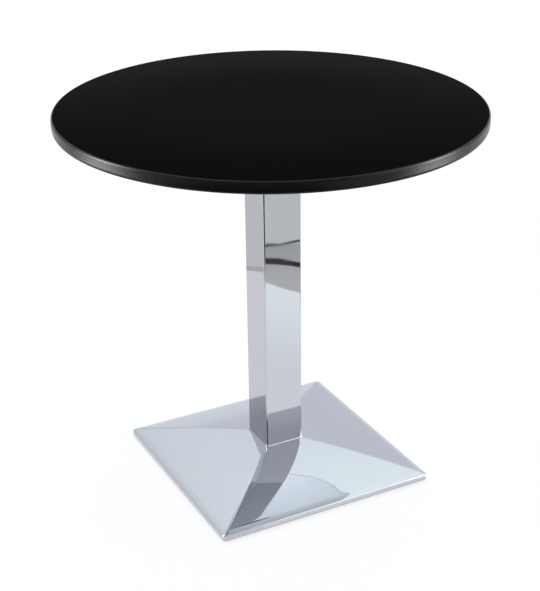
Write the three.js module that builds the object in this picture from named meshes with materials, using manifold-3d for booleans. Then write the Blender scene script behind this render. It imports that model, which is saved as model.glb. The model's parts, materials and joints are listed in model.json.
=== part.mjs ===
// Bistro table: a round laminate top on a square chrome column, with a pressed foot over a ballast casting.
// One long tie rod runs up the column and clamps casting, cover, column and top plate together.
// Units are millimetres, +Z is up, and the origin is on the floor under the middle of the column.
// The sides of the foot are parallel to X and Y.
import * as THREE from "three";
import { mergeVertices } from "three/addons/utils/BufferGeometryUtils.js";
import Module from "manifold-3d";

const wasm = await Module();
wasm.setup();

// Driving dimensions
const overallHeight = 750;
const topDiameter = 800;
const topThickness = 22;
const columnSide = 80;
const baseSide = 450;
const seatHeight = 60; // where the column stands on the pyramid cover
const slip = 0.3; // clearance between neighbouring pieces
const past = 1; // how far a cutting tool runs past the face it cuts

// Round top: core board, laminate on both faces, edge band round the rim
const laminateThickness = 1;
const bandThickness = 3.2;
const bandShoulder = 4; // height of the upper rounding of the band
const bandHeel = 6.2; // height of the softer lower rounding
const topSegments = 96;
const topRadius = topDiameter / 2;
const boardRadius = topRadius - bandThickness - slip;
const topUnderside = overallHeight - topThickness;

// Column
const columnWall = 2;
const columnCorner = 3;
const columnHalf = columnSide / 2;
const spigotHalf = columnHalf - columnWall - slip; // what plugs into either end of the column

// Top plate: a cast cross whose cup plugs into the column
const plateThickness = 6;
const plateReach = 170; // from the middle to an arm's tip
const armRootHalf = 30;
const armTipHalf = 22;
const cupDepth = 26;
const cupFloor = 6;
const cupBoreRadius = 26;
const ribDepth = 12;
const ribHalf = 3;
const columnTop = topUnderside - plateThickness;

// Screws that hold the top to the plate
const screwRadius = 2.25;
const screwHeadRadius = 4.6;
const screwHeadHeight = 2.6;
const screwCrownRadius = 3.2; // flat middle of the pan head
const screwCrownRise = 0.25;
const screwRimRise = 1.2; // where the head's rounding meets its side
const screwPoint = 4; // length of the tapered tip
const screwLength = 16;
const screwReach = 150; // from the middle, along each arm
const screwSpread = 14; // to either side of the arm's middle line
const screwHoleRadius = 3;
const pilotRadius = screwRadius + slip;

// Pressed cover
const coverWall = 1.5;
const floorGap = 4; // between the cover's rim and the floor
const rimTop = 15.5; // where the sloping faces start
const rimRadius = 2.5;
const rimCorner = 8;
const seatHalf = columnHalf + 2; // the raised seat that the column stands on
const seatRise = 2.6;
const seatEdge = 1;
const hipCorner = 3; // rounding of the hips where they meet the seat
const holeCorner = 1; // rounding of the square hole in the seat
const baseHalf = baseSide / 2;

// Ballast casting under the cover
const castBottom = 6;
const castEdgeTop = 12;
const castEdgeHalf = 216;
const castStepTop = 20;
const castStepHalf = 120;
const castBossHalf = 46; // foot of the block under the seat
const castBossTaper = 6; // its draft, from foot to shoulder
const castStepTaper = 4;
const castRound = 2; // rounding of the plate's lower edge
const castCorner = 10; // rounding of the corners in plan
const spigotCorner = 1;
const spigotRise = 15; // how far the spigot stands up inside the column
const spigotLead = 2; // bevel at its top
const nutWellRadius = 24;
const nutWellDepth = 30;
const footBossRadius = 13; // tapped boss round each levelling foot

// Tie rod, M12, with a nut and washer at each end
const rodRadius = 6;
const rodHoleRadius = 6.6;
const nutAcross = 19;
const nutHeight = 10;
const washerRadius = 12;
const washerHeight = 2.5;
const rodBelowNut = 2.5;

// Levelling feet, M8, a turning stud in a nylon pad
const footReach = 165; // along X and along Y
const padRadius = 17;
const padHeight = castBottom - slip;
const padPocketRadius = 8.2;
const padPocketFloor = 2.4;
const padSoleRound = 1;
const padTopBevel = 2;
const studRadius = 4;
const studHeadAcross = 13;
const studHeadHeight = 2.6;
const studTop = 24;
const studTip = 1; // bevel at the stud's top

const chrome = new THREE.MeshStandardMaterial({ color: 0xd4d7de, roughness: 0.05, metalness: 1 });
const laminate = new THREE.MeshStandardMaterial({ color: 0x111111, roughness: 0.35, metalness: 0 });
const backing = new THREE.MeshStandardMaterial({ color: 0xdcdcda, roughness: 0.5, metalness: 0 });
const edging = new THREE.MeshStandardMaterial({ color: 0x151515, roughness: 0.3, metalness: 0 });
const board = new THREE.MeshStandardMaterial({ color: 0x9c7a55, roughness: 0.9, metalness: 0 });
const castIron = new THREE.MeshStandardMaterial({ color: 0x1c1c1d, roughness: 0.7, metalness: 0.2 });
const zincSteel = new THREE.MeshStandardMaterial({ color: 0xb5b7b3, roughness: 0.35, metalness: 1 });
const nylon = new THREE.MeshStandardMaterial({ color: 0x161616, roughness: 0.55, metalness: 0 });

// A closed geometry as a solid that can be cut and joined.
function toSolid(geometry) {
  const bare = geometry.clone();
  bare.deleteAttribute("normal");
  bare.deleteAttribute("uv");
  const merged = mergeVertices(bare, 1e-4);
  const vertProperties = merged.attributes.position.array;
  const triVerts = new Uint32Array(merged.index.array);
  return new wasm.Manifold(new wasm.Mesh({ numProp: 3, vertProperties, triVerts }));
}

function toGeometry(solid) {
  const mesh = solid.getMesh();
  const geometry = new THREE.BufferGeometry();
  geometry.setAttribute("position", new THREE.BufferAttribute(mesh.vertProperties, 3));
  geometry.setIndex(new THREE.BufferAttribute(mesh.triVerts, 1));
  geometry.computeVertexNormals();
  return geometry;
}

const join = (...geometries) => geometries.map(toSolid).reduce((a, b) => a.add(b));
const cut = (solid, ...tools) => tools.reduce((rest, tool) => rest.subtract(toSolid(tool)), solid);

// An upright cylinder between two heights.
function rod(radius, low, high, segments, x = 0, y = 0) {
  const geometry = new THREE.CylinderGeometry(radius, radius, high - low, segments);
  return geometry.rotateX(Math.PI / 2).translate(x, y, (low + high) / 2);
}

// A solid of revolution about Z, from [radius, height] pairs that start and end on the axis or form a loop.
function turned(profile, segments) {
  const points = profile.map(([r, z]) => new THREE.Vector2(r, z));
  return new THREE.LatheGeometry(points, segments).rotateX(Math.PI / 2);
}

// A flat outline raised between two heights.
function raised(shape, low, high, curveSegments = 4) {
  const settings = { depth: high - low, bevelEnabled: false, curveSegments };
  return new THREE.ExtrudeGeometry(shape, settings).translate(0, 0, low);
}

function hexagon(across, holeRadius) {
  const corner = across / Math.sqrt(3);
  const shape = new THREE.Shape();
  for (let i = 0; i < 6; i++) {
    const angle = (i * Math.PI) / 3;
    const point = [corner * Math.cos(angle), corner * Math.sin(angle)];
    if (i === 0) shape.moveTo(...point);
    else shape.lineTo(...point);
  }
  shape.closePath();
  if (holeRadius) shape.holes.push(new THREE.Path().absarc(0, 0, holeRadius, 0, 2 * Math.PI, true));
  return shape;
}

// The outline of a square with round corners, as points at one height.
function squareRing(half, corner, z, cornerSteps = 4) {
  const points = [];
  for (let quarter = 0; quarter < 4; quarter++) {
    const start = (quarter * Math.PI) / 2;
    const middle = start + Math.PI / 4;
    const reach = (half - corner) * Math.SQRT2;
    const centre = [reach * Math.cos(middle), reach * Math.sin(middle)];
    for (let step = 0; step <= cornerSteps; step++) {
      const angle = start + (step / cornerSteps) * (Math.PI / 2);
      points.push([centre[0] + corner * Math.cos(angle), centre[1] + corner * Math.sin(angle), z]);
    }
  }
  return points;
}

// Square rings [half side, corner radius, height] skinned into one closed body. The rings of a shell close
// on themselves, and those of a block get a flat cap at either end. The outside is on the rings' left.
function squareLoft(rings, isShell) {
  const loops = rings.map(([half, corner, z]) => squareRing(half, corner, z));
  const count = loops[0].length;
  const position = loops.flat(2);
  const index = [];
  const bands = isShell ? loops.length : loops.length - 1;
  for (let band = 0; band < bands; band++) {
    const a = band * count;
    const b = ((band + 1) % loops.length) * count;
    for (let i = 0; i < count; i++) {
      const j = (i + 1) % count;
      index.push(a + i, a + j, b + j, a + i, b + j, b + i);
    }
  }
  if (!isShell) {
    const last = (loops.length - 1) * count;
    const low = position.length / 3;
    position.push(0, 0, rings[0][2], 0, 0, rings[rings.length - 1][2]);
    for (let i = 0; i < count; i++) {
      const j = (i + 1) % count;
      index.push(low, j, i, low + 1, last + i, last + j);
    }
  }
  const geometry = new THREE.BufferGeometry();
  geometry.setAttribute("position", new THREE.Float32BufferAttribute(position, 3));
  geometry.setIndex(index);
  geometry.computeVertexNormals();
  return geometry;
}

// Each place where a screw goes up through an arm into the top.
const screwPlaces = [0, 1, 2, 3].flatMap((arm) =>
  [-screwSpread, screwSpread].map((side) => {
    const angle = (arm * Math.PI) / 2;
    const [c, s] = [Math.round(Math.cos(angle)), Math.round(Math.sin(angle))];
    return [screwReach * c - side * s, screwReach * s + side * c];
  }),
);
const footPlaces = [
  [1, 1],
  [-1, 1],
  [-1, -1],
  [1, -1],
].map(([x, y]) => [x * footReach, y * footReach]);

// Round top

function tabletopCore() {
  const low = topUnderside + laminateThickness;
  const disc = rod(boardRadius, low, overallHeight - laminateThickness, topSegments);
  const pilotTop = columnTop + screwLength + past;
  const pilots = screwPlaces.map(([x, y]) => rod(pilotRadius, low - past, pilotTop, 10, x, y));
  return toGeometry(cut(toSolid(disc), ...pilots));
}

function topLaminate() {
  return rod(boardRadius, overallHeight - laminateThickness, overallHeight, topSegments);
}

function backingLaminate() {
  const high = topUnderside + laminateThickness;
  const disc = rod(boardRadius, topUnderside, high, topSegments);
  const pilots = screwPlaces.map(([x, y]) => rod(pilotRadius, topUnderside - past, high + past, 10, x, y));
  return toGeometry(cut(toSolid(disc), ...pilots));
}

function edgeBand() {
  const inner = topRadius - bandThickness;
  const quarter = [0, 1, 2, 3, 4].map((i) => (i / 4) * (Math.PI / 2));
  const heel = quarter.map((a) => [
    inner + bandThickness * Math.sin(a),
    topUnderside + bandHeel * (1 - Math.cos(a)),
  ]);
  const shoulder = quarter.map((a) => [
    inner + bandThickness * Math.cos(a),
    overallHeight - bandShoulder * (1 - Math.sin(a)),
  ]);
  const profile = [...heel, ...shoulder];
  return turned([...profile, profile[0]], topSegments);
}

// Top plate and its screws

function topPlate() {
  const arm = new THREE.Shape();
  const tipCentre = plateReach - armTipHalf;
  arm.moveTo(0, -armRootHalf);
  arm.lineTo(tipCentre, -armTipHalf);
  arm.absarc(tipCentre, 0, armTipHalf, -Math.PI / 2, Math.PI / 2, false);
  arm.lineTo(0, armRootHalf);
  arm.closePath();
  const rib = new THREE.Shape();
  const ribRoot = spigotHalf - past;
  rib.moveTo(ribRoot, 0);
  rib.lineTo(plateReach - armTipHalf, 0);
  rib.lineTo(columnHalf + slip, -ribDepth);
  rib.lineTo(columnHalf + slip, -slip);
  rib.lineTo(ribRoot, -slip);
  rib.closePath();
  const ribPlate = new THREE.ExtrudeGeometry(rib, { depth: 2 * ribHalf, bevelEnabled: false });
  ribPlate.translate(0, 0, -ribHalf).rotateX(Math.PI / 2).translate(0, 0, columnTop + slip);
  const pieces = [squareLoft(
    [
      [spigotHalf, columnCorner - columnWall, columnTop + plateThickness - cupDepth],
      [spigotHalf, columnCorner - columnWall, columnTop],
      [columnHalf, columnCorner, columnTop],
      [columnHalf, columnCorner, topUnderside],
    ],
    false,
  )];
  for (let quarter = 0; quarter < 4; quarter++) {
    const turn = (quarter * Math.PI) / 2;
    pieces.push(raised(arm, columnTop, topUnderside, 6).rotateZ(turn));
    pieces.push(ribPlate.clone().rotateZ(turn));
  }
  const cupBase = topUnderside - cupDepth;
  const tools = [
    rod(cupBoreRadius, cupBase + cupFloor, topUnderside + past, 32),
    rod(rodHoleRadius, cupBase - past, cupBase + cupFloor + past, 24),
    ...screwPlaces.map(([x, y]) => rod(screwHoleRadius, columnTop - past, topUnderside + past, 12, x, y)),
  ];
  return toGeometry(cut(join(...pieces), ...tools));
}

function topScrew([x, y]) {
  const headRim = columnTop - screwHeadHeight;
  const tip = columnTop + screwLength;
  const profile = [
    [0, headRim],
    [screwCrownRadius, headRim + screwCrownRise],
    [screwHeadRadius, headRim + screwRimRise],
    [screwHeadRadius, columnTop],
    [screwRadius, columnTop],
    [screwRadius, tip - screwPoint],
    [0, tip],
  ];
  return turned(profile, 12).translate(x, y, 0);
}

// Column and tie rod

function columnTube() {
  const bore = columnHalf - columnWall;
  const boreCorner = columnCorner - columnWall;
  return squareLoft(
    [
      [columnHalf, columnCorner, seatHeight],
      [columnHalf, columnCorner, columnTop],
      [bore, boreCorner, columnTop],
      [bore, boreCorner, seatHeight],
    ],
    true,
  );
}

const nutWellTop = castBottom + nutWellDepth;
const cupBottom = topUnderside - cupDepth + cupFloor;
const bottomNutLow = nutWellTop - washerHeight - nutHeight;
const topNutHigh = cupBottom + washerHeight + nutHeight;

function tieRod() {
  return rod(rodRadius, bottomNutLow - rodBelowNut, topNutHigh + rodBelowNut, 20);
}

const nut = (low) => raised(hexagon(nutAcross, rodRadius + slip), low, low + nutHeight, 10);

function washer(low) {
  const shape = new THREE.Shape().absarc(0, 0, washerRadius, 0, 2 * Math.PI, false);
  shape.holes.push(new THREE.Path().absarc(0, 0, rodHoleRadius, 0, 2 * Math.PI, true));
  return raised(shape, low, low + washerHeight, 12);
}

// Foot of the table

function baseCover() {
  const faceTop = seatHeight - seatRise;
  const rimInner = baseHalf - coverWall;
  const holeHalf = spigotHalf + slip;
  const outside = [
    [holeHalf, holeCorner, seatHeight],
    [seatHalf - seatEdge, hipCorner, seatHeight],
    [seatHalf - 0.3 * seatEdge, hipCorner, seatHeight - 0.3 * seatEdge],
    [seatHalf, hipCorner, seatHeight - seatEdge],
    [seatHalf, hipCorner, faceTop],
    [baseHalf - rimRadius, rimCorner - 2, rimTop],
    [baseHalf - 0.3 * rimRadius, rimCorner - 0.5, rimTop - 0.3 * rimRadius],
    [baseHalf, rimCorner, rimTop - rimRadius],
    [baseHalf, rimCorner, floorGap],
  ];
  const inside = [
    [rimInner, rimCorner - coverWall, floorGap],
    [rimInner, rimCorner - coverWall, rimTop - rimRadius - coverWall],
    [rimInner - 1, rimCorner - 2.5, rimTop - coverWall - 0.4],
    [seatHalf - coverWall, hipCorner - 1, faceTop - coverWall],
    [seatHalf - coverWall, hipCorner - 1, seatHeight - coverWall],
    [holeHalf, holeCorner, seatHeight - coverWall],
  ];
  return squareLoft([...outside, ...inside].reverse(), true);
}

function baseWeight() {
  const shoulder = seatHeight - coverWall - slip;
  const block = squareLoft(
    [
      [castEdgeHalf - castRound, castCorner - castRound, castBottom],
      [castEdgeHalf, castCorner, castBottom + castRound],
      [castEdgeHalf, castCorner, castEdgeTop - castRound / 2],
      [castEdgeHalf - castRound / 2, castCorner - castRound / 2, castEdgeTop],
      [castStepHalf, castCorner, castEdgeTop],
      [castStepHalf - castStepTaper, castCorner, castStepTop],
      [castBossHalf, castCorner, castStepTop],
      [castBossHalf - castBossTaper, castCorner - castBossTaper, shoulder - 1],
      [castBossHalf - castBossTaper, castCorner - castBossTaper, shoulder],
      [spigotHalf, spigotCorner, shoulder],
      [spigotHalf, spigotCorner, seatHeight + spigotRise - spigotLead],
      [spigotHalf - spigotLead, spigotCorner, seatHeight + spigotRise],
    ],
    false,
  );
  const bosses = footPlaces.map(([x, y]) => rod(footBossRadius, castBottom + past, castStepTop, 24, x, y));
  const tools = [
    rod(rodHoleRadius, castBottom - past, seatHeight + spigotRise + past, 24),
    rod(nutWellRadius, castBottom - past, nutWellTop, 32),
    ...footPlaces.map(([x, y]) => rod(studRadius + slip, castBottom - past, castStepTop + past, 16, x, y)),
  ];
  return toGeometry(cut(join(block, ...bosses), ...tools));
}

function footPad([x, y]) {
  const profile = [
    [0, 0],
    [padRadius - padSoleRound, 0],
    [padRadius, padSoleRound],
    [padRadius, padHeight - padTopBevel],
    [padRadius - padTopBevel, padHeight],
    [padPocketRadius, padHeight],
    [padPocketRadius, padPocketFloor],
    [0, padPocketFloor],
  ];
  return turned(profile, 28).translate(x, y, 0);
}

function footStud([x, y]) {
  const headLow = padPocketFloor + slip;
  const head = raised(hexagon(studHeadAcross, 0), headLow, headLow + studHeadHeight);
  const shank = turned(
    [
      [0, headLow + past],
      [studRadius, headLow + past],
      [studRadius, studTop - studTip],
      [studRadius - studTip, studTop],
      [0, studTop],
    ],
    16,
  );
  return toGeometry(join(head, shank)).translate(x, y, 0);
}

const table = new THREE.Group();

function add(name, geometry, material) {
  const mesh = new THREE.Mesh(geometry, material);
  mesh.name = name;
  table.add(mesh);
}

add("top_laminate", topLaminate(), laminate);
add("tabletop_core", tabletopCore(), board);
add("backing_laminate", backingLaminate(), backing);
add("edge_band", edgeBand(), edging);
add("top_plate", topPlate(), castIron);
screwPlaces.forEach((place, i) => add(`top_screw_${i + 1}`, topScrew(place), zincSteel));
add("column_tube", columnTube(), chrome);
add("tie_rod", tieRod(), zincSteel);
add("top_nut", nut(cupBottom + washerHeight), zincSteel);
add("top_washer", washer(cupBottom), zincSteel);
add("bottom_nut", nut(bottomNutLow), zincSteel);
add("bottom_washer", washer(nutWellTop - washerHeight), zincSteel);
add("base_cover", baseCover(), chrome);
add("base_weight", baseWeight(), castIron);
footPlaces.forEach((place, i) => add(`foot_pad_${i + 1}`, footPad(place), nylon));
footPlaces.forEach((place, i) => add(`foot_stud_${i + 1}`, footStud(place), zincSteel));

export default table;
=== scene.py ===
import json
import math

import bmesh
import bpy
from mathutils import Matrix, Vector


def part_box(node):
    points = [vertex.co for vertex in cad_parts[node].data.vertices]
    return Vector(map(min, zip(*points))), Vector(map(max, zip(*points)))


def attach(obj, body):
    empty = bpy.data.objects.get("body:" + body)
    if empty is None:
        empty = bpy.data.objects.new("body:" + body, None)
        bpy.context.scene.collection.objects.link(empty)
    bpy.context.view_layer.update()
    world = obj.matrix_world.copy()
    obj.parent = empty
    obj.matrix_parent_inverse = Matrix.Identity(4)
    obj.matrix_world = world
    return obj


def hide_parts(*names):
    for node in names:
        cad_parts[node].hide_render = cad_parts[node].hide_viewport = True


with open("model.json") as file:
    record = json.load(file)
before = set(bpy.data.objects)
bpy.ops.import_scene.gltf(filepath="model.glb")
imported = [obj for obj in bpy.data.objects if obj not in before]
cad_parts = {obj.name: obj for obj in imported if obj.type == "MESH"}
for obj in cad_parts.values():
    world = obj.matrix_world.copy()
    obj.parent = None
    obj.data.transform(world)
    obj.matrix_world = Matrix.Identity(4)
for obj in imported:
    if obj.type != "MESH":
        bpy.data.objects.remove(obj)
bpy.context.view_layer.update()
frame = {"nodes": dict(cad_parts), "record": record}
tableBody = "table"
smoothAngle = math.radians(35)  # faces that meet at less than this are shaded as one
print("frame loaded:", len(frame["nodes"]), "nodes")


def deselectAll():
    if bpy.context.mode != "OBJECT":
        bpy.ops.object.mode_set(mode="OBJECT")
    bpy.ops.object.select_all(action="DESELECT")


def makeActive(piece):
    deselectAll()
    piece.select_set(True)
    bpy.context.view_layer.objects.active = piece


def startPiece(name):
    # an empty mesh at the origin, left in edit mode and ready for primitives
    deselectAll()
    bpy.ops.mesh.primitive_plane_add(size=0.01)
    piece = bpy.context.object
    piece.name = name
    bpy.ops.object.mode_set(mode="EDIT")
    bpy.ops.mesh.select_mode(type="VERT")
    bpy.ops.mesh.select_all(action="SELECT")
    bpy.ops.mesh.delete(type="VERT")
    return piece


def selectWhere(piece, kind, test):
    # kind is VERT, EDGE or FACE; test gets a point, or the face itself
    bpy.ops.mesh.select_mode(type=kind)
    bpy.ops.mesh.select_all(action="DESELECT")
    mesh = bmesh.from_edit_mesh(piece.data)
    if kind == "VERT":
        chosen = [v for v in mesh.verts if test(v.co)]
    elif kind == "EDGE":
        chosen = [e for e in mesh.edges if test(e.verts[0].co) and test(e.verts[1].co)]
    else:
        chosen = [f for f in mesh.faces if test(f)]
    for element in chosen:
        element.select_set(True)
    mesh.select_flush_mode()
    bmesh.update_edit_mesh(piece.data)


def applyModifier(piece, kind, **settings):
    makeActive(piece)
    modifier = piece.modifiers.new(kind.title(), kind)
    for key, value in settings.items():
        setattr(modifier, key, value)
    bpy.ops.object.modifier_apply(modifier=modifier.name)


def tidyNormals():
    bpy.ops.mesh.select_all(action="SELECT")
    bpy.ops.mesh.remove_doubles(threshold=1e-6)
    bpy.ops.mesh.normals_make_consistent(inside=False)


def drawProfile(points):
    # a line of [radius, height] points, drawn in the XZ plane by extruding one vertex
    bpy.ops.mesh.primitive_plane_add(size=0.01, location=(0, 0, 0))
    bpy.ops.mesh.merge(type="CENTER")
    here = (0, 0)
    for index, (radius, height) in enumerate(points):
        step = (radius - here[0], 0, height - here[1])
        if index == 0:
            bpy.ops.transform.translate(value=step)
        else:
            bpy.ops.mesh.extrude_region_move(TRANSFORM_OT_translate={"value": step})
        here = (radius, height)
    bpy.ops.mesh.select_all(action="SELECT")


def turnPiece(name, profile, steps):
    piece = startPiece(name)
    drawProfile(profile)
    bpy.ops.mesh.spin(steps=steps, angle=math.tau, center=(0, 0, 0), axis=(0, 0, 1))
    tidyNormals()
    bpy.ops.object.mode_set(mode="OBJECT")
    return piece


def arcSteps(count):
    return [i / count * math.pi / 2 for i in range(count + 1)]


def loftSquares(name, levels, cornerSegments, closed):
    # rounded squares [half side, corner radius, height]: planes with bevelled corners, bridged in turn
    piece = startPiece(name)
    for half, corner, height in levels:
        bpy.ops.mesh.select_all(action="DESELECT")
        bpy.ops.mesh.primitive_plane_add(size=2 * half, location=(0, 0, height))
        bpy.ops.mesh.bevel(offset=corner, segments=cornerSegments, affect="VERTICES", profile=0.5)
        bpy.ops.mesh.delete(type="ONLY_FACE")
    near = 2e-6
    pairs = list(zip(levels, levels[1:]))
    if closed:
        pairs.append((levels[-1], levels[0]))
    for pair in pairs:
        def onPair(co):
            reach = max(abs(co.x), abs(co.y))
            spread = abs(co.x) + abs(co.y)
            return any(abs(co.z - z) < near and reach < half + near and spread > 2 * half - corner - 4 * near
                       for half, corner, z in pair)
        selectWhere(piece, "EDGE", onPair)
        bpy.ops.mesh.bridge_edge_loops()
    tidyNormals()
    bpy.ops.object.mode_set(mode="OBJECT")
    return piece


def refineCopy(node, name, edgeWidth):
    # the CAD node's shape with its triangles merged into faces and its sharp edges softened
    piece = bpy.data.objects.new(name, frame["nodes"][node].data.copy())
    bpy.context.scene.collection.objects.link(piece)
    makeActive(piece)
    bpy.ops.object.mode_set(mode="EDIT")
    bpy.ops.mesh.select_all(action="SELECT")
    bpy.ops.mesh.remove_doubles(threshold=1e-6)
    bpy.ops.mesh.dissolve_limited(angle_limit=math.radians(1))
    bpy.ops.object.mode_set(mode="OBJECT")
    applyModifier(piece, "BEVEL", width=edgeWidth, segments=2, limit_method="ANGLE",
                  angle_limit=math.radians(32), miter_outer="MITER_ARC")
    return piece


def copyPiece(piece, name, shift):
    twin = piece.copy()
    twin.data = piece.data.copy()
    twin.name = name
    bpy.context.scene.collection.objects.link(twin)
    makeActive(twin)
    bpy.ops.transform.translate(value=shift)
    return twin


def finishPiece(piece, material, body, slotName, *nodes):
    makeActive(piece)
    bpy.ops.object.transform_apply(location=True, rotation=True, scale=True)
    bpy.ops.object.shade_smooth_by_angle(angle=smoothAngle)
    piece.data.materials.clear()
    piece.data.materials.append(material)
    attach(piece, body)
    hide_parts(*nodes)
    return piece


def toLinear(hexColour):
    # sRGB hex to the linear colour that shaders use
    parts = [int(hexColour[i:i + 2], 16) / 255 for i in (1, 3, 5)]
    return [c / 12.92 if c <= 0.04045 else ((c + 0.055) / 1.055) ** 2.4 for c in parts] + [1.0]


def addNode(tree, kind, inputs=None, **settings):
    # inputs are values, or other nodes' outputs to link
    node = tree.nodes.new("ShaderNode" + kind)
    for key, value in settings.items():
        setattr(node, key, value)
    for key, value in (inputs or {}).items():
        if isinstance(value, bpy.types.NodeSocket):
            tree.links.new(value, node.inputs[key])
        else:
            node.inputs[key].default_value = value
    return node


def newMaterial(name, plainValues, linked):
    # a principled shader: plain values on its own sockets, and linked(tree, place) gives what varies
    material = bpy.data.materials.new(name)
    material.use_nodes = True
    tree = material.node_tree
    shader = tree.nodes["Principled BSDF"]
    for key, value in plainValues.items():
        shader.inputs[key].default_value = value
    place = addNode(tree, "TexCoord").outputs["Object"]
    for key, output in linked(tree, place).items():
        tree.links.new(output, shader.inputs[key])
    return material


def perMetre(millimetres):
    return 1000 / millimetres


chromeLook = {
    "base": "#c0c1c5",
    "deep": "#bdbec3",
    "hazeSize": 45,  # mm
    "roughness": (0.02, 0.045),
    "waveSize": 75,  # mm, the slow unevenness that polishing leaves
    "waveHeight": 0.0002,
}


def chromedSteel(tree, place):
    # bright nickel-chrome plate on polished steel: a cool mirror, slightly uneven, with a breath of haze
    look = chromeLook
    haze = addNode(tree, "TexNoise", {"Vector": place, "Scale": perMetre(look["hazeSize"]), "Detail": 4.0})
    tone = addNode(tree, "Mix", {0: haze.outputs[0], 6: toLinear(look["base"]), 7: toLinear(look["deep"])},
                   data_type="RGBA")
    low, high = look["roughness"]
    rough = addNode(tree, "MapRange", {0: haze.outputs[0], 1: 0.3, 2: 0.7, 3: low, 4: high})
    wave = addNode(tree, "TexNoise", {"Vector": place, "Scale": perMetre(look["waveSize"]), "Detail": 1.0})
    bump = addNode(tree, "Bump", {"Height": wave.outputs[0], "Distance": look["waveHeight"]})
    return {"Base Color": tone.outputs[2], "Roughness": rough.outputs[0], "Normal": bump.outputs[0]}


laminateLook = {
    "base": "#080808",
    "fleck": "#0c0c0c",
    "fleckSize": 2.5,  # mm, several times coarser than the real pearl so that it shows
    "pearlHeight": 0.00002,
}


def pressedLaminate(tree, place):
    # high-pressure laminate, melamine over black paper: dead even black with a fine satin pearl
    look = laminateLook
    pearl = addNode(tree, "TexNoise", {"Vector": place, "Scale": perMetre(look["fleckSize"]), "Detail": 3.0})
    fleck = addNode(tree, "MapRange", {0: pearl.outputs[0], 1: 0.45, 2: 0.65})
    tone = addNode(tree, "Mix", {0: fleck.outputs[0], 6: toLinear(look["base"]), 7: toLinear(look["fleck"])},
                   data_type="RGBA")
    bump = addNode(tree, "Bump", {"Height": pearl.outputs[0], "Distance": look["pearlHeight"]})
    return {"Base Color": tone.outputs[2], "Normal": bump.outputs[0]}


lippingLook = {
    "base": "#070707",
    "streak": "#0d0d0d",
    "streakSize": 30,  # mm along the band
    "streakStretch": 12,
    "roughness": (0.24, 0.32),
}


def buffedLipping(tree, place):
    # extruded black ABS edge band, buffed: glossier than the laminate, with a faint lengthwise draw
    look = lippingLook
    stretch = addNode(tree, "Mapping", {"Vector": place, "Scale": (1, 1, look["streakStretch"])})
    draw = addNode(tree, "TexNoise", {"Vector": stretch.outputs[0], "Scale": perMetre(look["streakSize"]),
                                      "Detail": 3.0})
    tone = addNode(tree, "Mix", {0: draw.outputs[0], 6: toLinear(look["base"]), 7: toLinear(look["streak"])},
                   data_type="RGBA")
    low, high = look["roughness"]
    rough = addNode(tree, "MapRange", {0: draw.outputs[0], 1: 0.3, 2: 0.7, 3: low, 4: high})
    return {"Base Color": tone.outputs[2], "Roughness": rough.outputs[0]}


balancingLook = {
    "base": "#b9bcc0",
    "mottle": "#b1b4b8",
    "mottleSize": 22,  # mm
}


def balancingLaminate(tree, place):
    # light grey phenolic balancing sheet: matt and slightly mottled
    look = balancingLook
    size = perMetre(look["mottleSize"])
    mottle = addNode(tree, "TexNoise", {"Vector": place, "Scale": size, "Detail": 5.0})
    base, patch = toLinear(look["base"]), toLinear(look["mottle"])
    tone = addNode(tree, "Mix", {0: mottle.outputs[0], 6: base, 7: patch}, data_type="RGBA")
    return {"Base Color": tone.outputs[2]}


castingLook = {
    "base": "#17181a",
    "high": "#232427",
    "grainSize": 1.8,  # mm, the moulding sand under the paint
    "grainHeight": 0.00025,
    "lumpSize": 14,
    "lumpHeight": 0.0006,
    "roughness": (0.42, 0.62),
}


def stovedCasting(tree, place):
    # grey iron from a sand mould under black stoving paint: the sand's grain, softened by the paint
    look = castingLook
    grain = addNode(tree, "TexNoise", {"Vector": place, "Scale": perMetre(look["grainSize"]), "Detail": 4.0})
    lumps = addNode(tree, "TexNoise", {"Vector": place, "Scale": perMetre(look["lumpSize"]), "Detail": 2.0})
    tone = addNode(tree, "Mix", {0: lumps.outputs[0], 6: toLinear(look["base"]), 7: toLinear(look["high"])},
                   data_type="RGBA")
    low, high = look["roughness"]
    rough = addNode(tree, "MapRange", {0: grain.outputs[0], 1: 0.3, 2: 0.7, 3: low, 4: high})
    coarse = addNode(tree, "Bump", {"Height": lumps.outputs[0], "Distance": look["lumpHeight"]})
    fine = addNode(tree, "Bump", {"Height": grain.outputs[0], "Distance": look["grainHeight"],
                                  "Normal": coarse.outputs[0]})
    return {"Base Color": tone.outputs[2], "Roughness": rough.outputs[0], "Normal": fine.outputs[0]}


zincLook = {
    "base": "#b9bcc0",
    "straw": "#c4c1b0",
    "cloudSize": 6,  # mm
    "roughness": (0.24, 0.4),
}


def zincPlate(tree, place):
    # bright zinc with clear passivation on rolled steel: cool grey with faint straw clouds
    look = zincLook
    cloud = addNode(tree, "TexNoise", {"Vector": place, "Scale": perMetre(look["cloudSize"]), "Detail": 3.0})
    shift = addNode(tree, "MapRange", {0: cloud.outputs[0], 1: 0.4, 2: 0.62})
    tone = addNode(tree, "Mix", {0: shift.outputs[0], 6: toLinear(look["base"]), 7: toLinear(look["straw"])},
                   data_type="RGBA")
    low, high = look["roughness"]
    rough = addNode(tree, "MapRange", {0: cloud.outputs[0], 1: 0.3, 2: 0.7, 3: low, 4: high})
    return {"Base Color": tone.outputs[2], "Roughness": rough.outputs[0]}


nylonLook = {
    "base": "#161617",
    "scuff": "#2c2c2d",
    "sparkSize": 0.7,  # mm
    "sparkHeight": 0.00006,
    "scuffSize": 5,
    "roughness": (0.5, 0.72),
}


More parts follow.
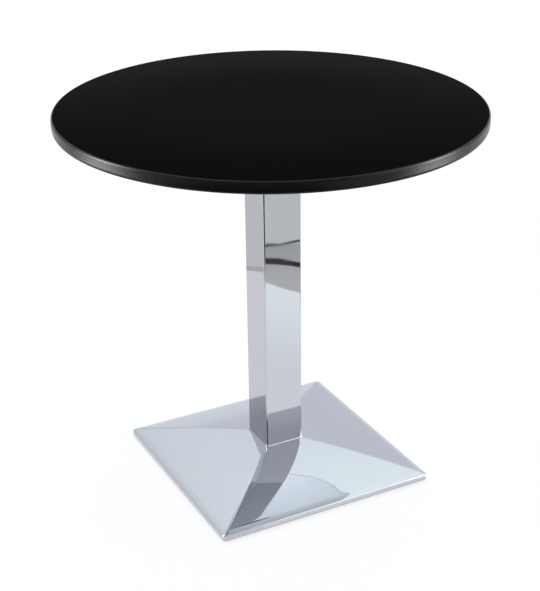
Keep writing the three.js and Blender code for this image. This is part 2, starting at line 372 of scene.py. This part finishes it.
def mouldedNylon(tree, place):
    # injection-moulded black polyamide: matt from a spark-eroded mould, scuffed grey where it drags
    look = nylonLook
    spark = addNode(tree, "TexNoise", {"Vector": place, "Scale": perMetre(look["sparkSize"]), "Detail": 2.0})
    scuff = addNode(tree, "TexNoise", {"Vector": place, "Scale": perMetre(look["scuffSize"]), "Detail": 5.0})
    worn = addNode(tree, "MapRange", {0: scuff.outputs[0], 1: 0.5, 2: 0.75})
    tone = addNode(tree, "Mix", {0: worn.outputs[0], 6: toLinear(look["base"]), 7: toLinear(look["scuff"])},
                   data_type="RGBA")
    low, high = look["roughness"]
    rough = addNode(tree, "MapRange", {0: worn.outputs[0], 3: low, 4: high})
    bump = addNode(tree, "Bump", {"Height": spark.outputs[0], "Distance": look["sparkHeight"]})
    return {"Base Color": tone.outputs[2], "Roughness": rough.outputs[0], "Normal": bump.outputs[0]}


boardLook = {
    "light": "#b08c5e",
    "dark": "#7d5c38",
    "chipSize": 4,  # mm
    "chipHeight": 0.0003,
}


def particleBoard(tree, place):
    # resin-bonded chips: straw and brown flakes a few millimetres across
    look = boardLook
    chips = addNode(tree, "TexVoronoi", {"Vector": place, "Scale": perMetre(look["chipSize"])})
    tone = addNode(tree, "Mix", {0: chips.outputs["Distance"], 6: toLinear(look["light"]),
                                 7: toLinear(look["dark"])}, data_type="RGBA")
    bump = addNode(tree, "Bump", {"Height": chips.outputs["Distance"], "Distance": look["chipHeight"]})
    return {"Base Color": tone.outputs[2], "Normal": bump.outputs[0]}


finishes = {
    "chrome": newMaterial("ChromedSteel", {"Metallic": 1.0}, chromedSteel),
    "laminate": newMaterial("BlackPressureLaminate", {"Roughness": 0.38, "Specular IOR Level": 0.0015},
                            pressedLaminate),
    "edging": newMaterial("BlackAbsLipping", {"IOR": 1.5, "Specular IOR Level": 0.17}, buffedLipping),
    "backing": newMaterial("GreyBalancingLaminate", {"Roughness": 0.55}, balancingLaminate),
    "cast_iron": newMaterial("PaintedCastIron", {"IOR": 1.5}, stovedCasting),
    "zinc_steel": newMaterial("ZincPlatedSteel", {"Metallic": 1.0}, zincPlate),
    "nylon": newMaterial("MouldedNylon", {"IOR": 1.53}, mouldedNylon),
    "board": newMaterial("ParticleBoard", {"Roughness": 0.85}, particleBoard),
}
for row in frame["record"]["subparts"]:
    cadNode = frame["nodes"][row["node"]]
    cadNode.data.materials.clear()
    cadNode.data.materials.append(finishes[row["material_slot"]])
print("materials ready:", len(finishes))


topShape = {
    "steps": 256,
    "middleRing": 0.5,  # share of the radius
    "laminateEdge": 0.0004,  # rounding of the laminate's rim
    "bandHeel": 0.0062,
    "bandShoulder": 0.0040,
    "roundSteps": 8,
    "seam": 0.0003,  # between the laminate and the band
}


def laminateDisc():
    low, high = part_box("top_laminate")
    radius, edge = high.x, topShape["laminateEdge"]
    rim = [(radius - edge + edge * math.sin(a), high.z - edge + edge * math.cos(a)) for a in arcSteps(3)]
    profile = [(0, high.z), (radius * topShape["middleRing"], high.z), *rim, (radius, low.z), (0, low.z)]
    piece = turnPiece("topLaminateSheet", profile, topShape["steps"])
    finishPiece(piece, finishes["laminate"], tableBody, "laminate", "top_laminate")


def backingDisc():
    low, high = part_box("backing_laminate")
    profile = [(0, high.z), (high.x, high.z), (high.x, low.z), (0, low.z)]
    piece = turnPiece("backingSheet", profile, topShape["steps"])
    finishPiece(piece, finishes["backing"], tableBody, "backing", "backing_laminate")


def lipping():
    low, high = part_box("edge_band")
    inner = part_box("top_laminate")[1].x + topShape["seam"]
    thick = high.x - inner
    heel, shoulder = topShape["bandHeel"], topShape["bandShoulder"]
    turns = arcSteps(topShape["roundSteps"])
    under = [(inner + thick * math.sin(a), low.z + heel * (1 - math.cos(a))) for a in turns]
    over = [(inner + thick * math.cos(a), high.z - shoulder * (1 - math.sin(a))) for a in turns]
    piece = turnPiece("edgeLipping", [*under, *over, under[0]], topShape["steps"])
    finishPiece(piece, finishes["edging"], tableBody, "edging", "edge_band")


laminateDisc()
backingDisc()
lipping()
print("top made")


columnShape = {
    "corner": 0.003,
    "wall": 0.002,
    "endRound": 0.0004,
    "cornerSegments": 8,
}


def columnSkin():
    low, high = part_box("column_tube")
    half, corner, wall, end = high.x, columnShape["corner"], columnShape["wall"], columnShape["endRound"]
    levels = [
        (half - end, corner - end, low.z),
        (half, corner, low.z + end),
        (half, corner, high.z - end),
        (half - end, corner - end, high.z),
        (half - wall, corner - wall, high.z),
        (half - wall, corner - wall, low.z),
    ]
    piece = loftSquares("columnSkin", levels, columnShape["cornerSegments"], True)
    finishPiece(piece, finishes["chrome"], tableBody, "chrome", "column_tube")
    applyModifier(piece, "WEIGHTED_NORMAL", weight=100, keep_sharp=True)


columnSkin()
print("column made")


coverShape = {
    "sheet": 0.0015,
    "rimTop": 0.0155,  # where the sloping faces start
    "rimRadius": 0.0025,
    "rimCorner": 0.008,
    "hipCorner": 0.0045,
    "holeInset": 0.002,  # how far the seat runs in under the column
    "holeCorner": 0.001,
    "seatOverhang": 0.002,
    "seatRise": 0.0026,
    "seatEdge": 0.0014,
    "crown": 0.0034,  # how far the pressed faces swell above flat
    "lip": 0.0012,  # extra fall of the face just inside the rim
    "lipWidth": 0.009,
    "faceSteps": 30,
    "rimSteps": 6,
}


def coverSkin():
    low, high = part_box("base_cover")
    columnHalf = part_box("column_tube")[1].x
    shape = coverShape
    edge, rimRadius, crown = shape["seatEdge"], shape["rimRadius"], shape["crown"]
    seat = columnHalf + shape["seatOverhang"]
    faceTop = high.z - shape["seatRise"]
    rimHalf = high.x - rimRadius
    run, drop = rimHalf - seat, faceTop - shape["rimTop"]
    levels = [(columnHalf - shape["holeInset"], shape["holeCorner"], high.z)]
    levels += [(seat - edge + edge * math.sin(a), shape["hipCorner"] - edge * (1 - math.sin(a)) / 2,
                high.z - edge + edge * math.cos(a)) for a in arcSteps(4)]
    for i in range(shape["faceSteps"] + 1):
        t = i / shape["faceSteps"]
        corner = shape["hipCorner"] + (shape["rimCorner"] - rimRadius - shape["hipCorner"]) * t
        lip = shape["lip"] * max(0, 1 - (1 - t) * run / shape["lipWidth"]) ** 2
        levels.append((seat + run * t, corner, faceTop - (drop - shape["lip"]) * t
                       + crown * math.sin(math.pi * t) - lip))
    # the face's tilt where it meets the rim
    slope = math.atan(drop / run + math.pi * crown / run + 2 * shape["lip"] / shape["lipWidth"])
    for i in range(1, shape["rimSteps"] + 1):
        a = slope + (math.pi / 2 - slope) * i / shape["rimSteps"]
        out = rimRadius * (math.sin(a) - math.sin(slope)) / (1 - math.sin(slope))
        levels.append((rimHalf + out, shape["rimCorner"] - rimRadius + out,
                       shape["rimTop"] - rimRadius * (math.cos(slope) - math.cos(a))))
    levels.append((high.x, shape["rimCorner"], low.z))
    piece = loftSquares("footCover", levels, columnShape["cornerSegments"], False)
    applyModifier(piece, "SOLIDIFY", thickness=shape["sheet"], offset=-1, use_even_offset=True)
    finishPiece(piece, finishes["chrome"], tableBody, "chrome", "base_cover")
    applyModifier(piece, "WEIGHTED_NORMAL", weight=50, keep_sharp=True)


coverSkin()
print("foot cover made")


ironwork = {  # CAD node: piece, finish, width of the softened edges
    "top_plate": ("topPlateCasting", "cast_iron", 0.0008),
    "base_weight": ("ballastCasting", "cast_iron", 0.0008),
    "top_nut": ("upperNut", "zinc_steel", 0.0006),
    "top_washer": ("upperWasher", "zinc_steel", 0.0003),
    "bottom_nut": ("lowerNut", "zinc_steel", 0.0006),
    "bottom_washer": ("lowerWasher", "zinc_steel", 0.0003),
    "tie_rod": ("tieRodBar", "zinc_steel", 0.0008),
}
for cadName, (pieceName, slotName, edgeWidth) in ironwork.items():
    piece = refineCopy(cadName, pieceName, edgeWidth)
    finishPiece(piece, finishes[slotName], tableBody, slotName, cadName)
print("ironwork made")


screwShape = {
    "steps": 24,
    "headRadius": 0.0046,
    "headHeight": 0.0026,
    "shankRadius": 0.00225,
    "point": 0.004,
    "recessLong": 0.0052,
    "recessWide": 0.0011,
    "recessDeep": 0.0012,
}


def screwModel():
    # pan head wood screw standing on its head at the origin, with a cross recess
    low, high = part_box("top_screw_1")
    shape = screwShape
    tall, head, radius = high.z - low.z, shape["headHeight"], shape["headRadius"]
    crown = [(radius * math.sin(a), head / 2 * (1 - math.cos(a))) for a in arcSteps(5)]
    shank = shape["shankRadius"]
    profile = [*crown, (radius, head), (shank, head), (shank, tall - shape["point"]), (0, tall)]
    piece = turnPiece("screwModel", profile, shape["steps"])
    cutter = startPiece("recessCutter")
    across, thick, deep = shape["recessLong"], shape["recessWide"], 2 * shape["recessDeep"]
    for scale in ((across, thick, deep), (thick, across, deep)):
        bpy.ops.mesh.primitive_cube_add(size=1, scale=scale)
    bpy.ops.object.mode_set(mode="OBJECT")
    applyModifier(piece, "BOOLEAN", object=cutter, operation="DIFFERENCE", solver="EXACT", use_self=True)
    bpy.data.objects.remove(cutter)
    return piece


def topScrews():
    model = screwModel()
    for number in range(1, 9):
        low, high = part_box(f"top_screw_{number}")
        place = ((low.x + high.x) / 2, (low.y + high.y) / 2, low.z)
        piece = copyPiece(model, f"plateScrew{number}", place)
        finishPiece(piece, finishes["zinc_steel"], tableBody, "zinc_steel", f"top_screw_{number}")
    bpy.data.objects.remove(model)


topScrews()
print("screws made")


padShape = {
    "steps": 48,
    "soleRound": 0.001,
    "topBevel": 0.002,
    "pocketRadius": 0.0082,
    "pocketFloor": 0.0024,
    "fluteDepth": 0.0006,
    "edge": 0.0002,
}
studShape = {
    "radius": 0.004,
    "pitch": 0.00125,
    "threadDepth": 0.0007,
    "steps": 24,
    "headAcross": 0.013,
    "headHeight": 0.0026,
}


def padModel():
    # nylon pad with finger flutes round its side
    low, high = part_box("foot_pad_1")
    shape = padShape
    radius, tall = (high.x - low.x) / 2, high.z - low.z
    sole, bevel = shape["soleRound"], shape["topBevel"]
    pocket, floor = shape["pocketRadius"], shape["pocketFloor"]
    profile = [(0, 0), (radius - sole, 0), (radius, sole), (radius, tall - bevel), (radius - bevel, tall),
               (pocket, tall), (pocket, floor), (0, floor)]
    piece = turnPiece("padModel", profile, shape["steps"])
    bpy.ops.object.mode_set(mode="EDIT")

    def isFlute(face):
        centre = face.calc_center_median()
        turn = (math.atan2(centre.y, centre.x) / math.tau) % 1.0
        onSide = abs(face.normal.z) < 0.1 and centre.xy.length > 0.9 * radius
        return onSide and int(turn * shape["steps"]) % 2 == 0

    selectWhere(piece, "FACE", isFlute)
    bpy.ops.mesh.inset(thickness=shape["edge"], depth=-shape["fluteDepth"], use_individual=True)
    bpy.ops.object.mode_set(mode="OBJECT")
    applyModifier(piece, "BEVEL", width=shape["edge"], segments=2, limit_method="ANGLE",
                  angle_limit=math.radians(40))
    return piece


def studModel():
    # hexagon head and a cut thread, wound from one pitch of its flank
    low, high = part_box("foot_stud_1")
    shape = studShape
    radius, pitch, root = shape["radius"], shape["pitch"], shape["radius"] - shape["threadDepth"]
    piece = startPiece("studModel")
    drawProfile([(root, 0), (root, pitch / 8), (radius, pitch / 2), (radius, pitch * 5 / 8), (root, pitch)])
    bpy.ops.object.mode_set(mode="OBJECT")
    tall, head = high.z - low.z, shape["headHeight"]
    turns = int((tall - head / 2) / pitch) - 1
    applyModifier(piece, "SCREW", axis="Z", angle=math.tau, steps=shape["steps"], render_steps=shape["steps"],
                  screw_offset=pitch, iterations=turns, use_merge_vertices=True, merge_threshold=1e-6)
    makeActive(piece)
    bpy.ops.object.mode_set(mode="EDIT")
    bpy.ops.mesh.select_all(action="SELECT")
    bpy.ops.transform.translate(value=(0, 0, tall - (turns + 1) * pitch))
    bpy.ops.mesh.fill_holes(sides=0)
    bpy.ops.mesh.select_all(action="DESELECT")
    bpy.ops.mesh.primitive_cylinder_add(vertices=6, radius=shape["headAcross"] / math.sqrt(3), depth=head,
                                        location=(0, 0, head / 2), rotation=(0, 0, math.pi / 6))
    tidyNormals()
    bpy.ops.object.mode_set(mode="OBJECT")
    return piece


def levellingFeet():
    pad, stud = padModel(), studModel()
    for number in range(1, 5):
        for model, node, body, slotName in ((pad, "foot_pad", "foot", "nylon"),
                                            (stud, "foot_stud", "stud", "zinc_steel")):
            cadName = f"{node}_{number}"
            low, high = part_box(cadName)
            place = ((low.x + high.x) / 2, (low.y + high.y) / 2, low.z)
            piece = copyPiece(model, f"{body}Piece{number}", place)
            finishPiece(piece, finishes[slotName], f"{body}_{number}", slotName, cadName)
    bpy.data.objects.remove(pad)
    bpy.data.objects.remove(stud)


levellingFeet()
print("levelling feet made")


cameraPlace = {
    "distance": 2.44,  # along the floor from the column
    "azimuth": 27.18,
    "height": 1.5,
    "heading": 28.84,
    "pitch": 24.9,
    "lens": 84.0,
    "shiftX": -0.0677,
}


def aroundTable(bearing, distance, height=0.0):
    # bearing 0 is towards the camera, and 90 is to its right
    turn = math.radians(cameraPlace["azimuth"] - bearing)
    return Vector((-distance * math.sin(turn), -distance * math.cos(turn), height))


def placeCamera():
    place = cameraPlace
    data = bpy.data.cameras.new("studioCamera")
    data.lens = place["lens"]
    data.sensor_width = 36.0
    data.shift_x = place["shiftX"]
    camera = bpy.data.objects.new("studioCamera", data)
    bpy.context.scene.collection.objects.link(camera)
    camera.location = aroundTable(0, place["distance"], place["height"])
    camera.rotation_euler = (math.radians(90 - place["pitch"]), 0, -math.radians(place["heading"]))
    bpy.context.scene.camera = camera


floorLook = {
    "size": 14.0,
    "colours": ("#8d8d8d", "#919191"),
    "glow": 0.75,  # the sweep is lit evenly from all round
    "patchSize": 500,  # mm
}


def paleFloor():
    deselectAll()
    bpy.ops.mesh.primitive_plane_add(size=floorLook["size"])
    floor = bpy.context.object
    floor.name = "studioFloor"

    def paintedSweep(tree, place):
        patch = addNode(tree, "TexNoise", {"Vector": place, "Scale": perMetre(floorLook["patchSize"])})
        near, far = [toLinear(colour) for colour in floorLook["colours"]]
        return {"Base Color": addNode(tree, "Mix", {0: patch.outputs[0], 6: near, 7: far},
                                      data_type="RGBA").outputs[2]}

    plain = {"Roughness": 0.9, "Specular IOR Level": 0.0, "Emission Color": (1, 1, 1, 1),
             "Emission Strength": floorLook["glow"]}
    floor.data.materials.append(newMaterial("PaleStudioFloor", plain, paintedSweep))


skyLook = {
    "horizon": (0.95, 1.0, 1.08),
    "wall": (0.86, 0.89, 0.97),  # the darker belt of wall above the sweep
    "overhead": (1.4, 1.54, 1.57),
}
# Where each change of the sky starts and ends, and its value before and after. The first two are measured by
# height, the others by how far a direction points to the front or to the left.
skyChanges = {
    "belt": (0.05, 0.2, 0.0, 1.0),
    "rise": (0.25, 1.0, 0.0, 1.0),
    "rear": (-0.1, 0.3, 1.0, 0.25),  # the overhead glow fades to the front
    "frontEnd": (0.62, 0.85, 1.0, 0.1),  # the unlit end of the room
    "leftWall": (0.25, 0.75, 1.0, 0.8),  # further from the lamps
}


def softLight():
    world = bpy.data.worlds.new("SoftStudio")
    bpy.context.scene.world = world
    world.use_nodes = True
    tree = world.node_tree
    tree.nodes.clear()
    direction = addNode(tree, "TexCoord").outputs["Generated"]
    height = addNode(tree, "SeparateXYZ", {0: direction}).outputs[2]
    front = addNode(tree, "VectorMath", {0: direction, 1: aroundTable(0, 1)}, operation="DOT_PRODUCT")
    left = addNode(tree, "VectorMath", {0: direction, 1: aroundTable(-90, 1)}, operation="DOT_PRODUCT")
    ahead, leftward = front.outputs["Value"], left.outputs["Value"]
    measures = {"belt": height, "rise": height, "rear": ahead, "frontEnd": ahead, "leftWall": leftward}
    part = {}
    for name, measure in measures.items():
        start, end, before, after = skyChanges[name]
        change = addNode(tree, "MapRange", {0: measure, 1: start, 2: end, 3: before, 4: after},
                         interpolation_type="SMOOTHSTEP")
        part[name] = change.outputs[0]
    horizon, wall, overhead = [(*skyLook[name], 1) for name in ("horizon", "wall", "overhead")]
    belt = addNode(tree, "Mix", {0: part["belt"], 6: horizon, 7: wall}, data_type="RGBA")
    upper = addNode(tree, "Math", {0: part["rise"], 1: part["rear"]}, operation="MULTIPLY")
    sky = addNode(tree, "Mix", {0: upper.outputs[0], 6: belt.outputs[2], 7: overhead}, data_type="RGBA")
    level = addNode(tree, "Math", {0: part["frontEnd"], 1: part["leftWall"]}, operation="MULTIPLY")
    shaded = addNode(tree, "VectorMath", {0: sky.outputs[2], "Scale": level.outputs[0]}, operation="SCALE")
    background = addNode(tree, "Background", {"Color": shaded.outputs[0]})
    addNode(tree, "OutputWorld", {"Surface": background.outputs[0]})


# Cards and softboxes round the table, out of shot, for the chrome and the lipping to mirror. Each is placed
# by the middle of its far or upper edge: bearing, distance, height, width, depth, tilt, facing. Then comes
# the way its glow runs, along it from near to far or across it from the middle to the ends, and both glows.
studioCards = {
    "leftSoftbox": (-81, 1.57, 1.7, 0.9, 1.2, 90, -95, "across", (30.0, 30.0, 30.0), (1.0, 1.0, 1.0)),
    "rightSoftbox": (80, 1.59, 1.7, 0.8, 1.2, 90, 91, "across", (30.0, 30.0, 30.0), (1.0, 1.0, 1.0)),
    "leftGlow": (-87, 2.9, 0.004, 2.0, 1.1, 0, -87, "across", (12.0, 12.0, 12.0), (1.0, 1.0, 1.0)),
    "rightGlow": (81, 2.9, 0.004, 2.0, 1.1, 0, 81, "across", (12.0, 12.0, 12.0), (1.0, 1.0, 1.0)),
    "keySoftbox": (62, 1.6, 1.6, 0.8, 0.7, 90, 62, "across", (4.0, 4.0, 4.0), (3.0, 3.0, 3.0)),
    "frontFlag": (-5, 3.3, 0.004, 2.6, 2.35, 0, 0, "along", (0.02, 0.02, 0.02), (0.02, 0.02, 0.02)),
    "backCard": (56, 2.6, 0.004, 1.1, 1.4, 0, 56, "along", (0.87, 0.89, 0.89), (0.98, 1.0, 1.0)),
    "greyCard": (56, 1.2, 0.006, 0.9, 0.45, 0, 56, "along", (0.74, 0.74, 0.74), (0.58, 0.6, 0.6)),
    "brightCard": (56, 0.87, 0.008, 0.9, 0.75, 0, 88, "along", (1.1, 1.13, 1.17), (1.26, 1.37, 1.38)),
    "blackTape": (56, 1.068, 0.008, 1.0, 0.036, 0, 71, "along", (0.05, 0.05, 0.05), (0.05, 0.05, 0.05)),
    "thinTape": (56, 1.222, 0.008, 1.0, 0.014, 0, 30, "along", (0.05, 0.05, 0.05), (0.05, 0.05, 0.05)),
    "leftCard": (-124, 2.3, 0.004, 1.2, 1.3, 0, -124, "along", (0.84, 0.85, 0.87), (0.9, 0.91, 0.91)),
    "leftTape": (-124, 1.0, 0.008, 0.8, 0.035, 0, -114, "along", (0.64, 0.65, 0.65), (0.66, 0.66, 0.66)),
}


def cardMaterial(name, run, firstGlow, lastGlow):
    material = bpy.data.materials.new(name)
    material.use_nodes = True
    tree = material.node_tree
    tree.nodes.clear()
    place = addNode(tree, "SeparateXYZ", {0: addNode(tree, "TexCoord").outputs["Object"]})
    if run == "across":
        measure = addNode(tree, "Math", {0: place.outputs[0]}, operation="ABSOLUTE").outputs[0]
        start, end = 0.0, 0.5
    else:
        measure, start, end = place.outputs[1], -0.6, 0.0
    part = addNode(tree, "MapRange", {0: measure, 1: start, 2: end}, interpolation_type="SMOOTHSTEP")
    glow = addNode(tree, "Mix", {0: part.outputs[0], 6: (*firstGlow, 1), 7: (*lastGlow, 1)}, data_type="RGBA")
    light = addNode(tree, "Emission", {"Color": glow.outputs[2]})
    addNode(tree, "OutputMaterial", {"Surface": light.outputs[0]})
    return material


def mirrorCards():
    for name, settings in studioCards.items():
        bearing, distance, height, width, depth, tilt, facing, *glows = settings
        deselectAll()
        bpy.ops.mesh.primitive_plane_add(size=1, location=(0, -0.5, 0))
        bpy.ops.object.transform_apply(location=True)
        card = bpy.context.object
        card.name = name
        card.scale = (width, depth, 1)
        card.location = aroundTable(bearing, distance, height)
        # a flat card's depth runs outwards, and an upright one's runs up
        turn = facing - cameraPlace["azimuth"] + (0 if tilt else 180)
        card.rotation_euler = (math.radians(tilt), 0, math.radians(turn))
        card.data.materials.append(cardMaterial(name, *glows))
        card.visible_camera = False
        card.visible_diffuse = False
        card.visible_shadow = False


bounceLook = {
    "size": 0.35,
    "power": 5.0,
    "colour": (0.92, 1.0, 1.05),
    "bearing": 162,  # under the far side of the top
    "distance": 0.42,
    "height": 0.25,
}


def floorBounce():
    # light thrown up on to the underside of the top
    light = bpy.data.lights.new("floorBounce", "AREA")
    light.size = bounceLook["size"]
    light.energy = bounceLook["power"]
    light.color = bounceLook["colour"]
    lamp = bpy.data.objects.new("floorBounce", light)
    bpy.context.scene.collection.objects.link(lamp)
    lamp.location = aroundTable(bounceLook["bearing"], bounceLook["distance"], bounceLook["height"])
    lamp.rotation_euler = (math.pi, 0, 0)
    lamp.visible_camera = False
    lamp.visible_glossy = False


placeCamera()
paleFloor()
softLight()
mirrorCards()
floorBounce()
bpy.context.scene.view_settings.view_transform = "Standard"
print("studio ready")
